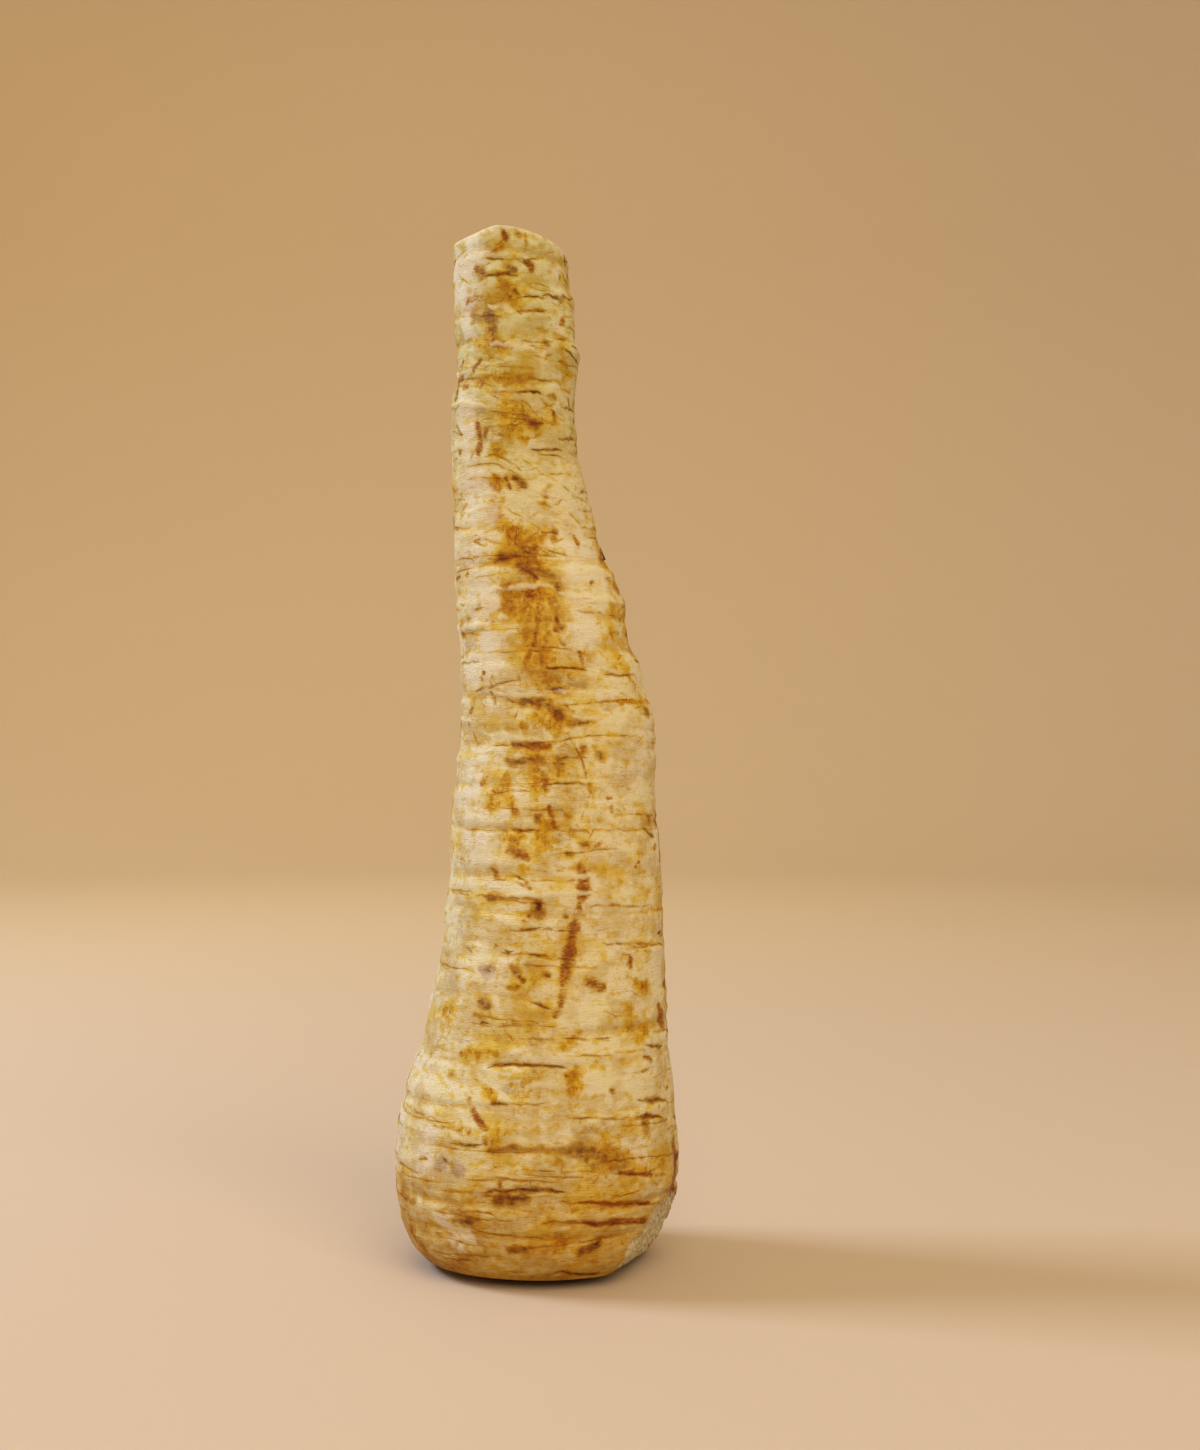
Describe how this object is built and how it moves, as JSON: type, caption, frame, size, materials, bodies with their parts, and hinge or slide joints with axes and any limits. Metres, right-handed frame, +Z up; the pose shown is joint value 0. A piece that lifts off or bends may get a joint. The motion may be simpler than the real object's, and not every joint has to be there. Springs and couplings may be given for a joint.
{
  "type": "horseradish root",
  "caption": "Whole horseradish root, broad at the crown and slim at the tail, cut off at both ends and standing on its crown.",
  "frame": {"origin": "middle of the standing root's footprint, at the surface that it stands on", "axes": "+Z up along the root, from the crown to the tail; -Y is the front, +X the side that the root leans out to and where its crown is trimmed"},
  "size_m": [0.0662, 0.0638, 0.2397],
  "materials": {
    "root_skin": "matt dry skin, creamy yellow with ochre stains and fine dark cracks, paler where it is cut"
  },
  "bodies": {
    "root": {"root": "root_skin"}
  },
  "joints": []
}
